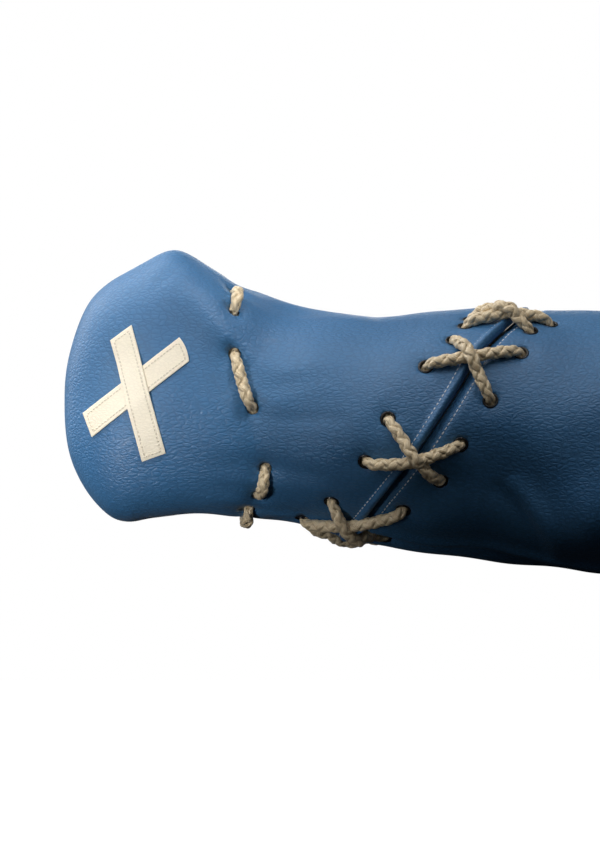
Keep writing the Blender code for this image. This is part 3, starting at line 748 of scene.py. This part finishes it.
def loop_frames(line):
    """Across and up directions that turn as little as possible, and that meet where the loop closes."""
    tangents = unit(np.roll(line, -1, 0) - np.roll(line, 1, 0))
    across = np.zeros_like(line)
    across[0] = unit(np.cross(tangents[0], ODD_WAY))
    for i in range(1, len(line)):
        across[i] = unit(across[i - 1] - tangents[i] * np.dot(across[i - 1], tangents[i]))
    last = unit(across[-1] - tangents[0] * np.dot(across[-1], tangents[0]))
    miss = math.atan2(np.dot(np.cross(last, across[0]), tangents[0]), np.dot(last, across[0]))
    turn = (miss * np.arange(len(line)) / len(line))[:, None]
    up = np.cross(tangents, across)
    across = across * np.cos(turn) + up * np.sin(turn)
    return tangents, across, np.cross(tangents, across)


def braided_cord(name, route):
    line, length = smooth_loop(route, STEP)
    tangents, across, up = loop_frames(line)
    turns = round(length / CROSS_LENGTH / (2 * PLAITS))
    phase = FULL_TURN * turns * np.arange(len(line)) / len(line)
    corners = FULL_TURN * np.arange(PLAIT_SIDES) / PLAIT_SIDES
    every_hole = np.concatenate(list(HOLE_POINTS.values()))
    pinch = 1 - HOLE_PINCH * hill(nearest(line, every_hole), PINCH_REACH)
    points, faces, uvs = [], [], []
    for hand in (1, -1):
        for plait in range(PLAITS):
            angle = hand * phase + plait * FULL_TURN / PLAITS
            out = across * np.cos(angle)[:, None] + up * np.sin(angle)[:, None]
            lift = hand * PLAIT_LIFT * np.cos(PLAITS * phase)
            centre = line + out * (PLAIT_OUT + lift)[:, None]
            way = unit(np.roll(centre, -1, 0) - np.roll(centre, 1, 0))
            side = unit(np.cross(out, way))
            centre = line + (centre - line) * pinch[:, None]
            breadth = side[:, None] * (PLAIT_WIDE * np.cos(corners))[None, :, None]
            thickness = out[:, None] * (PLAIT_THICK * np.sin(corners))[None, :, None]
            section = centre[:, None] + breadth * pinch[:, None, None] + thickness
            start = len(points) * len(line) * PLAIT_SIDES
            points.append(section.reshape(-1, 3))
            for i in range(len(line)):
                k = (i + 1) % len(line)
                for j in range(PLAIT_SIDES):
                    m = (j + 1) % PLAIT_SIDES
                    quad = ((i, j), (i, m), (k, m), (k, j))
                    faces.append([start + a * PLAIT_SIDES + b for a, b in quad])
                    for at, (_, corner) in zip((i, i, i + 1, i + 1), quad):
                        uvs.append(((j + (corner != j)) / PLAIT_SIDES, at * STEP / FIBRE_LENGTH + plait))
    piece = new_piece(name + "_braid", np.concatenate(points), faces, CORD, (name,))
    layer = piece.data.uv_layers.new(name="Along")
    layer.data.foreach_set("uv", np.array(uvs, np.float32).ravel())
    print(name, round(length * 1000), "mm of cord")


braided_cord("neck_lace", neck_route())
braided_cord("seam_lace_1", seam_route(True))
braided_cord("seam_lace_2", seam_route(False))

# %% [markdown]
# ## Eyelets
# A black eyelet is a short tube rolled over at the top into a rounded lip. Its section is drawn once
# and turned, and each one is set on the leather where it really lies, tilted with the dimple round
# it.

# %% Eyelets
EYELET_PROFILE = [
    (0.0038, -0.0023), (0.0037, 0.0003), (0.0039, 0.0008), (0.0044, 0.0010), (0.0049, 0.0009),
    (0.0052, 0.0005), (0.0051, 0.0001), (0.0045, 0.0), (0.0043, -0.0006), (0.0043, -0.0023),
]
EYELET_STEPS = 28


def gloss_black():
    made, tree, shader = new_finish("black_eyelet_gloss")
    coords = object_coords(tree)
    scuffs = ramp(tree, noise(tree, coords, 900.0, 5.0), 0.62, 0.75, 0, 1)
    colour = blend_colours(tree, scuffs, (0.008, 0.008, 0.009), (0.06, 0.055, 0.05))
    gloss = ramp(tree, scuffs, 0, 1, 0.26, 0.50)
    scratches = bump(tree, scuffs, 0.00005, 0.4)
    fill_sockets(tree, shader, {"Base Color": colour, "Roughness": gloss, "Normal": scratches})
    return made


BLACK = gloss_black()


def eyelet(name, hole):
    centre = leather(*hole)
    up = normal_of(leather, *hole, dx=0.006, da=0.08)
    across = unit(np.cross(up, OTHER_ODD_WAY))
    side = np.cross(up, across)
    turns = FULL_TURN * np.arange(EYELET_STEPS) / EYELET_STEPS
    circle = np.cos(turns)[:, None] * across + np.sin(turns)[:, None] * side
    rows = [centre + radius * circle + height * up for radius, height in EYELET_PROFILE]
    faces = grid_faces(len(rows), EYELET_STEPS)
    last = (len(rows) - 1) * EYELET_STEPS
    for j in range(EYELET_STEPS):
        k = (j + 1) % EYELET_STEPS
        faces.append((last + j, last + k, k, j))
    new_piece(name + "_rim", np.concatenate(rows), faces, BLACK, (name,))


for row, holes in (("front", FRONT_HOLES), ("rear", REAR_HOLES)):
    for count, hole in enumerate(holes, 1):
        eyelet(f"eyelet_{row}_{count:02d}", hole)
print("eyelets:", len(FRONT_HOLES) + len(REAR_HOLES))

# %% [markdown]
# ## Thread
# A machine stitch shows as short lengths of thread that dip into the leather at each end. Every
# stitch is a small tube, bent down at its ends, so that it catches light and throws a shadow.

# %% Stitches along a row
def thread_finish(name, light, dark):
    made, tree, shader = new_finish(name)
    twist = noise(tree, object_coords(tree), 3000.0)
    colour = blend_colours(tree, ramp(tree, twist, 0.35, 0.65, 0, 1), dark, light)
    ridges = bump(tree, twist, 0.0001, 0.7)
    fill_sockets(tree, shader, {"Base Color": colour, "Normal": ridges, "Roughness": 0.55})
    return made


PALE_THREAD = thread_finish("pale_thread", (0.82, 0.84, 0.86), (0.52, 0.55, 0.60))
BEIGE_THREAD = thread_finish("beige_thread", (0.78, 0.70, 0.56), (0.60, 0.52, 0.40))
THREAD_RADIUS, THREAD_SIDES, THREAD_RINGS = 0.00043, 6, 7
STITCH_RISE, STITCH_SINK = 1.1, 0.9  # in thread radii: the middle stands up, and the ends are below
TOPSTITCH_PITCH, ROW_POINTS = 0.0034, 900


def stitches(name, places, normals, finish, pitch, gap=0.28):
    """Thread along places (points already on the surface), one stitch each pitch."""
    travelled = distance_along(places)
    count = int(travelled[-1] / pitch)
    verts, faces = [], []
    shares = np.linspace(0, 1, THREAD_RINGS)
    for n in range(count):
        at = (n + gap / 2 + shares * (1 - gap)) * travelled[-1] / count
        line = at_distances(places, travelled, at)
        up = unit(at_distances(normals, travelled, at))
        lift = THREAD_RADIUS * (STITCH_RISE * np.sin(math.pi * shares) ** 0.5 - STITCH_SINK)
        line = line + up * lift[:, None]
        way = unit(np.gradient(line, axis=0))
        side = unit(np.cross(up, way))
        start = len(verts)
        for point, u, s in zip(line, up, side):
            for corner in range(THREAD_SIDES):
                a = corner * FULL_TURN / THREAD_SIDES
                verts.append(point + THREAD_RADIUS * (math.cos(a) * s + math.sin(a) * u))
        tube = grid_faces(THREAD_RINGS, THREAD_SIDES)
        faces += [tuple(start + corner for corner in face) for face in tube]
        faces.append(tuple(start + j for j in reversed(range(THREAD_SIDES))))
        last = start + (THREAD_RINGS - 1) * THREAD_SIDES
        faces.append(tuple(last + j for j in range(THREAD_SIDES)))
    new_piece(name, verts, faces, finish)
    print(name, count, "stitches")


row_angles = np.linspace(0, FULL_TURN, ROW_POINTS)
for name, offset in (("topstitch_front", ROW_FRONT), ("topstitch_rear", ROW_REAR)):
    row_x = seam_x(row_angles) + offset / SEAM_COS
    row_places, row_normals = leather(row_x, row_angles), normal_of(leather, row_x, row_angles)
    stitches(name, row_places, row_normals, PALE_THREAD, TOPSTITCH_PITCH)

# %% [markdown]
# ## The cross patch
# Two straps are cut from cream faux leather and sewn on flat by one row of thread near the edge. The upper
# one climbs over the lower one where they cross. Each strap is a net laid on the leather and
# thickened.

# %% Straps
STRAP_WIDE, STRAP_THICK, STRAP_LIFT, STRAP_STEP_UP = 0.0163, 0.0012, 0.0003, 0.0013
LOWER_STRAP = ((-0.4420, 0.008), (-0.3786, 0.0573))
UPPER_STRAP = ((-0.4195, 0.0680), (-0.3985, -0.0130))
SEW_INSET, SEW_PITCH, SEW_POINTS = 0.0026, 0.0025, 60
STRAP_ROWS, STRAP_COLUMNS, STRAP_EDGE = 81, 17, 0.0003
BOW_FROM = 0.7  # the share of the length where the bow at the second end starts
STEP_FROM, STEP_TO = STRAP_WIDE / 2 - 0.001, STRAP_WIDE / 2 + 0.013  # where the upper strap comes down


def front_angle(x, z):
    """The angle of the skin's front side at x and height z."""
    top, bottom = np.interp(x, *TOP), np.interp(x, *BOTTOM)
    up = np.clip((z - (top + bottom) / 2) / ((top - bottom) / 2), -1, 1)
    return np.arccos(np.sign(up) * np.abs(up) ** (roundness(x) / 2))


def strap_point(ends, along, across, crossing, lift, skews, bow):
    """A point on a strap: along runs 0 to 1 between its ends, across is metres from its middle line.

    skews is how far each end is cut off square, in metres over the strap's width, and bow is how far
    the second end swells out in the middle.
    """
    start, end = np.array(ends[0]), np.array(ends[1])
    way = unit(end - start)
    length = np.linalg.norm(end - start)
    along, across = np.asarray(along), np.asarray(across)
    along = along + across / STRAP_WIDE / length * (skews[0] * (1 - along) + skews[1] * along)
    along = along + bow / length * smooth_step(along, BOW_FROM, 1.0) * (1 - (2 * across / STRAP_WIDE) ** 2)
    spot = start + (end - start) * along[..., None] + np.array([-way[1], way[0]]) * across[..., None]
    height = np.full(spot.shape[:-1], STRAP_LIFT + lift)
    if crossing:
        off = np.abs((spot - crossing[0]) @ crossing[1])
        height = height + STRAP_STEP_UP * (1 - smooth_step(off, STEP_FROM, STEP_TO))
    angle = front_angle(spot[..., 0], spot[..., 1])
    normal = normal_of(skin_point, spot[..., 0], angle)
    return leather(spot[..., 0], angle) + height[..., None] * normal, normal


def strap(name, ends, skews, bow=0.0, crossing=None):
    lengthwise, crosswise = np.linspace(0, 1, STRAP_ROWS), np.linspace(-0.5, 0.5, STRAP_COLUMNS)
    along, across = np.meshgrid(lengthwise, crosswise * STRAP_WIDE, indexing="ij")
    points = strap_point(ends, along, across, crossing, 0, skews, bow)[0].reshape(-1, 3)
    faces = grid_faces(STRAP_ROWS, STRAP_COLUMNS, closed=False)
    piece = new_piece(name + "_leather", points, faces, CREAM_LEATHER, (name,))
    facing = sum(face.normal.y for face in piece.data.polygons)
    if facing > 0:
        piece.data.flip_normals()
    thick = piece.modifiers.new("thickness", "SOLIDIFY")
    thick.thickness, thick.offset = STRAP_THICK, 1
    edge = piece.modifiers.new("edge", "BEVEL")
    edge.width, edge.segments = STRAP_EDGE, 2
    length = float(np.linalg.norm(np.array(ends[1]) - np.array(ends[0])))
    inset = SEW_INSET / length
    half = STRAP_WIDE / 2 - SEW_INSET
    corners = [(inset, -half), (1 - inset, -half), (1 - inset, half), (inset, half), (inset, -half)]
    path = np.concatenate([np.linspace(a, b, SEW_POINTS) for a, b in zip(corners, corners[1:])])
    places, normals = strap_point(ends, path[:, 0], path[:, 1], crossing, STRAP_THICK, skews, bow)
    stitches(name + "_thread", places, normals, BEIGE_THREAD, SEW_PITCH)


strap("patch_strap_lower", LOWER_STRAP, (0.0049, 0.0046), bow=0.0014)
lower_way = unit(np.array(LOWER_STRAP[1]) - np.array(LOWER_STRAP[0]))
lower_line = (np.array(LOWER_STRAP[0]), np.array([-lower_way[1], lower_way[0]]))
strap("patch_strap_upper", UPPER_STRAP, (-0.0058, -0.0014), crossing=lower_line)

# %% [markdown]
# ## Filling
# The filling is hidden, but it is a real piece, so it isn't left as a plain block. It is remeshed
# evenly and roughened by slow waves, pulled slightly in to stay inside the covers.

# %% Filling pieces
def fibre_finish():
    made, tree, shader = new_finish("matted_fibre")
    coords = object_coords(tree)
    clumps, threads = noise(tree, coords, 90.0, 6.0), noise(tree, coords, 1100.0, 4.0)
    colour = blend_colours(tree, clumps, (0.66, 0.63, 0.56), (0.88, 0.86, 0.80))
    mat = bump(tree, threads, 0.0008, 0.8)
    fill_sockets(tree, shader, {"Base Color": colour, "Normal": mat, "Roughness": 0.95, "Sheen Weight": 0.4})
    return made


FIBRE = fibre_finish()
SINK_CLEARANCE = 0.0010
SKIN_X_RANGE = (TIP[0] + 0.004, -0.001)
INNER_RADIUS, OUTER_RADIUS = 0.048, 0.060  # nothing moves inside the first, and all of it outside the second
FILLING_DENT, FILLING_WAVES, FILLING_VOXEL = 0.0006, 3, 0.0045


def skin_depth(points):
    """How far to move each point in so that it stays clear of leather that dips below the plain skin."""
    radius = np.hypot(points[:, 1], points[:, 2])
    x = np.clip(points[:, 0], *SKIN_X_RANGE)
    middle = (np.interp(x, *TOP) + np.interp(x, *BOTTOM)) / 2
    angle = np.arctan2(-points[:, 1], points[:, 2] - middle)
    sunk = np.minimum(relief(x, angle), 0) - SINK_CLEARANCE
    return sunk * smooth_step(radius, INNER_RADIUS, OUTER_RADIUS)


for node in ("head_filling", "body_filling"):
    mesh = frame["nodes"][node].data.copy()
    source = bpy.data.objects.new(node + "_source", mesh)
    bpy.context.scene.collection.objects.link(source)
    source.modifiers.new("even", "REMESH").voxel_size = FILLING_VOXEL
    shaped = source.evaluated_get(bpy.context.evaluated_depsgraph_get())
    evened = bpy.data.meshes.new_from_object(shaped)
    bpy.data.objects.remove(source)
    verts = np.array([v.co for v in evened.vertices])
    normals = np.array([v.normal for v in evened.vertices])
    wave = swell(verts, FILLING_WAVES) / SWELL_COUNT
    verts = verts - normals * (FILLING_DENT * (1 + wave))[:, None]
    sunk = skin_depth(verts)
    verts = verts + unit(verts * [0, 1, 1]) * sunk[:, None]
    faces = [tuple(p.vertices) for p in evened.polygons]
    piece = new_piece(node + "_fibre", verts, faces, FIBRE, (node,))
    print(piece.name, len(verts), "points")

# %% [markdown]
# ## Finishes for the hard parts
# The hard parts keep the frame's shapes. Powder coat has a fine orange-peel texture, zinc plate is
# clouded, plywood has a noise stretched into grain on the face and thin plies on the edge, and rubber
# and foam are matt.

# %% Hard finishes
def speckled(name, dark, light, scale, roughness, metallic=0.0, depth=0.0001, strength=0.5):
    made, tree, shader = new_finish(name)
    coords = object_coords(tree)
    fleck, slow = noise(tree, coords, scale, 5.0), noise(tree, coords, 12.0)
    colour = blend_colours(tree, ramp(tree, fleck, 0.35, 0.65, 0, 1), dark, light)
    fill_sockets(tree, shader, {
        "Base Color": colour, "Roughness": uneven_gloss(tree, slow, roughness),
        "Normal": bump(tree, fleck, depth, strength), "Metallic": metallic,
    })
    return made


def plywood_finish():
    made, tree, shader = new_finish("birch_ply")
    grain = noise(tree, stretched(tree, object_coords(tree), (700, 18, 160)), 1.0, 5.0)
    colour = blend_colours(tree, grain, (0.46, 0.30, 0.16), (0.74, 0.57, 0.37))
    fill_sockets(tree, shader, {
        "Base Color": colour, "Normal": bump(tree, grain, 0.0002, 0.5), "Roughness": 0.62,
    })
    return made


POWDER = speckled("powder_coat", (0.014, 0.014, 0.016), (0.030, 0.030, 0.033),
                  scale=1400.0, roughness=0.48, depth=0.00012)
ZINC = speckled("zinc_plate", (0.48, 0.49, 0.51), (0.68, 0.69, 0.70),
                scale=350.0, roughness=0.36, metallic=1.0, depth=0.00004)
RUBBER = speckled("moulded_rubber", (0.014, 0.014, 0.014), (0.028, 0.028, 0.028), scale=700.0, roughness=0.78)
FOAM = speckled("grey_foam", (0.10, 0.10, 0.11), (0.22, 0.22, 0.23),
                scale=1000.0, roughness=0.92, depth=0.0005, strength=0.9)
PLY = plywood_finish()
HARD = {
    "wall_plate": POWDER, "root_disc": PLY, "steel_arm": ZINC, "arm_end_plug": RUBBER, "foam_sleeve": FOAM,
}
finished = 0
for node, obj in frame["nodes"].items():
    finish = HARD.get(node) or (ZINC if node.startswith(("disc_bolt", "tee_nut")) else None)
    if finish:
        finished += 1
        for slot in obj.material_slots:
            slot.material = finish
print("hard parts finished:", finished)

# %% [markdown]
# ## Studio
# A pad on a wall is lit from above and in front, so its underside falls into shade. Three big soft
# boxes over the tip and the middle do that here, one beyond the tip draws its rim, and one behind
# keeps the far side readable. Three soft spots, whose beams fade at the edge, lift the lower front of
# the head, the top of the head and the root end. The floor is plain and pale and doesn't light the
# pad, as a real floor is far below. The world is white where the camera sees it, and elsewhere a dim
# sky that is brighter above.

# %% Floor, lights and camera
FLOOR_Z = -1.60
AMBIENT_BELOW, AMBIENT_ABOVE = 0.006, 0.20

bpy.ops.mesh.primitive_plane_add(size=40, location=(0, 0, FLOOR_Z))
floor = bpy.context.object
floor.name = "floor"
floor_finish, floor_tree, floor_shader = new_finish("pale_floor")
floor.data.materials.append(floor_finish)
fill_sockets(floor_tree, floor_shader, {
    "Base Color": (0.92, 0.92, 0.92, 1), "Roughness": 0.9,
    "Emission Color": (1, 1, 1, 1), "Emission Strength": 1.0,
})
floor.visible_diffuse = False
floor.visible_glossy = False


def aimed_lamp(name, kind, place, aim, power):
    data = bpy.data.lights.new(name, kind)
    data.energy = power
    lamp = bpy.data.objects.new(name, data)
    bpy.context.scene.collection.objects.link(lamp)
    lamp.location = place
    lamp.rotation_euler = (Vector(aim) - Vector(place)).to_track_quat("-Z", "Y").to_euler()
    return data


def soft_box(name, place, aim, size, power):
    aimed_lamp(name, "AREA", place, aim, power).size = size


def soft_spot(name, place, aim, angle, radius, power):
    """A round lamp whose beam fades smoothly to nothing at its edge."""
    data = aimed_lamp(name, "SPOT", place, aim, power)
    data.spot_size, data.spot_blend, data.shadow_soft_size = math.radians(angle), 1.0, radius


AIM = (-0.30, 0.0, 0.02)
soft_box("key", (-1.00, -0.75, 1.10), AIM, 1.2, 7.8)
soft_box("top", (-0.92, 0.32, 0.95), AIM, 0.8, 6.0)
soft_box("rim", (-1.15, 0.25, 0.35), AIM, 0.6, 4.4)
soft_box("high", (-0.25, -0.35, 1.25), (-0.20, 0.0, 0.0), 0.9, 3.1)
soft_box("back", (-0.20, 1.60, 0.20), AIM, 1.0, 9)
soft_spot("head_low", (-0.95, -0.85, -0.10), (-0.440, -0.03, -0.005), 17, 0.12, 41)
soft_spot("head_high", (0.05, -0.60, 0.92), (-0.372, -0.03, 0.083), 13, 0.10, 38)
soft_spot("root", (0.25, -0.75, 1.00), (-0.05, 0.0, 0.08), 22, 0.15, 12.4)

world = bpy.context.scene.world or bpy.data.worlds.new("studio")
bpy.context.scene.world = world
world.use_nodes = True
tree = world.node_tree
sky = tree.nodes.get("Background")
upward = add_node(tree, "ShaderNodeSeparateXYZ")
tree.links.new(add_node(tree, "ShaderNodeTexCoord").outputs["Generated"], upward.inputs["Vector"])
ambient = ramp(tree, upward.outputs["Z"], -0.2, 0.6, AMBIENT_BELOW, AMBIENT_ABOVE)
seen = add_node(tree, "ShaderNodeLightPath").outputs["Is Camera Ray"]
strength = add_node(tree, "ShaderNodeMix", data_type="FLOAT")
fill_sockets(tree, strength, {"Factor": seen, "A": ambient, "B": 1.0})
fill_sockets(tree, sky, {"Strength": strength.outputs["Result"], "Color": (1, 1, 1, 1)})

CAMERA_FROM = (-0.3033, -2.4, 0.0097)
camera = bpy.data.cameras.new("camera")
camera.lens = 153.4
camera.clip_end = 60
view = bpy.data.objects.new("camera", camera)
bpy.context.scene.collection.objects.link(view)
view.location = CAMERA_FROM
view.rotation_euler = (math.radians(90), 0, 0)
bpy.context.scene.camera = view
bpy.context.scene.view_settings.view_transform = "Standard"

# %%
import json
